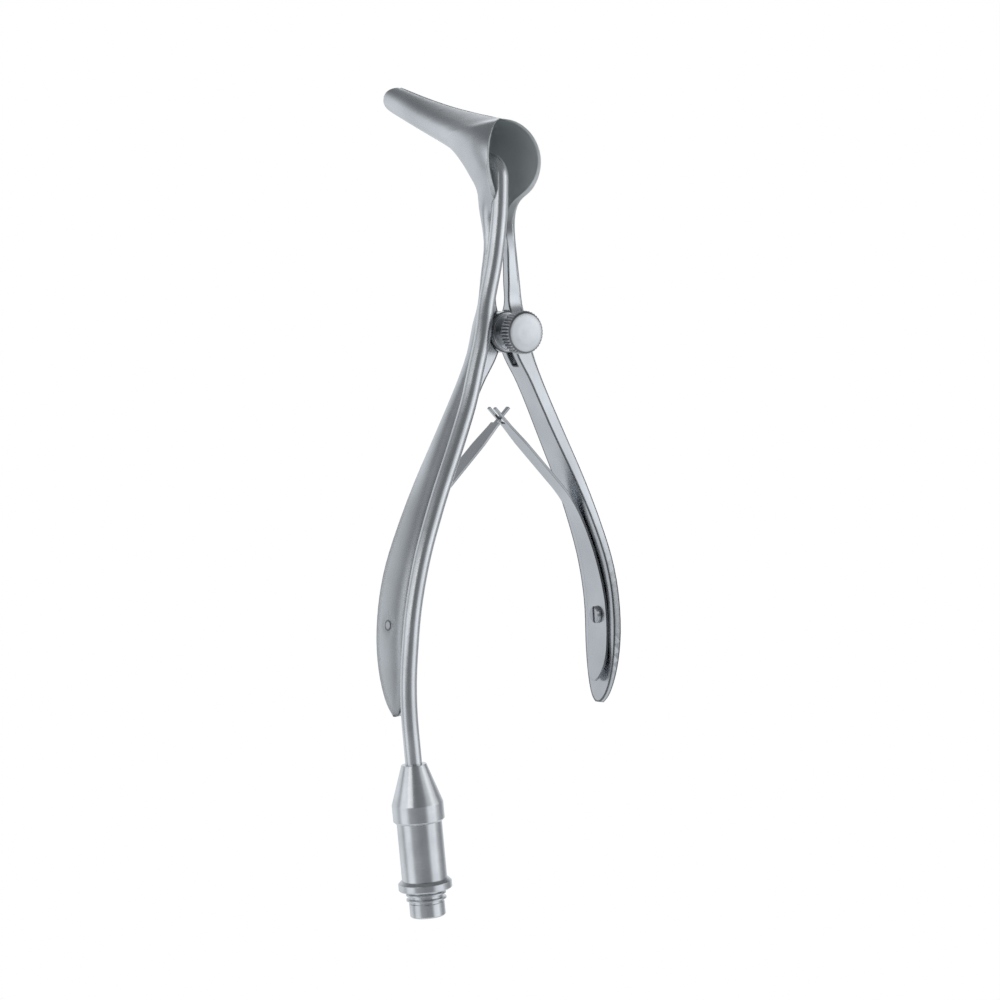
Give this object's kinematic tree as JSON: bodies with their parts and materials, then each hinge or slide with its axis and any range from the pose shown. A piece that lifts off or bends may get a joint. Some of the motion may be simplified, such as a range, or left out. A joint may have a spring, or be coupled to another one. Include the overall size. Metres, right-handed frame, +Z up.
{
  "type": "nasal septum speculum",
  "caption": "Nasal speculum with two long narrow blades, sprung handles, a set knob and a light tube that ends in a cable connector.",
  "frame": {"origin": "centre of the light connector's end face, where the light cable goes on", "axes": "+Z up along the handles to the blades, +Y forward along the blades, +X to the user's right"},
  "size_m": [0.0673, 0.0614, 0.1987],
  "materials": {
    "satin_steel": "satin, glass bead blasted",
    "spring_steel": "satin spring steel",
    "turned_steel": "turned",
    "knurled_steel": "knurled and faced",
    "drawn_tube": "polished drawn tube",
    "polished_steel": "polished",
    "fibre": "packed glass fibre",
    "lens_glass": "clear polished glass"
  },
  "bodies": {
    "left_half": {"left_arm": "satin_steel", "pivot_screw": "turned_steel", "knob_washer": "turned_steel", "left_leaf_spring": "spring_steel", "left_spring_screw": "turned_steel", "light_tube": "drawn_tube", "fibre_bundle": "fibre", "exit_lens": "lens_glass", "connector_cone": "polished_steel", "connector_barrel": "polished_steel", "flange_ring": "polished_steel", "thread_ring": "polished_steel", "connector_post": "polished_steel", "end_window": "lens_glass"},
    "right_half": {"right_arm": "satin_steel", "right_leaf_spring": "spring_steel", "right_spring_screw": "turned_steel"},
    "knob": {"set_knob": "knurled_steel"}
  },
  "joints": [
    {"name": "arm_hinge", "type": "hinge", "parent": "left_half", "child": "right_half", "pos_m": [0.0259, 0.0078, 0.1385], "axis": [0, 1, 0], "range_deg": [0, 20], "stiffness_Nm_per_rad": 0.6, "springref_deg": -5.73, "deforming": ["left_leaf_spring", "right_leaf_spring"]},
    {"name": "knob_turn", "type": "hinge", "parent": "left_half", "child": "knob", "pos_m": [0.0259, 0.0078, 0.1385], "axis": [0, 1, 0], "range_deg": [-180, 180]}
  ]
}
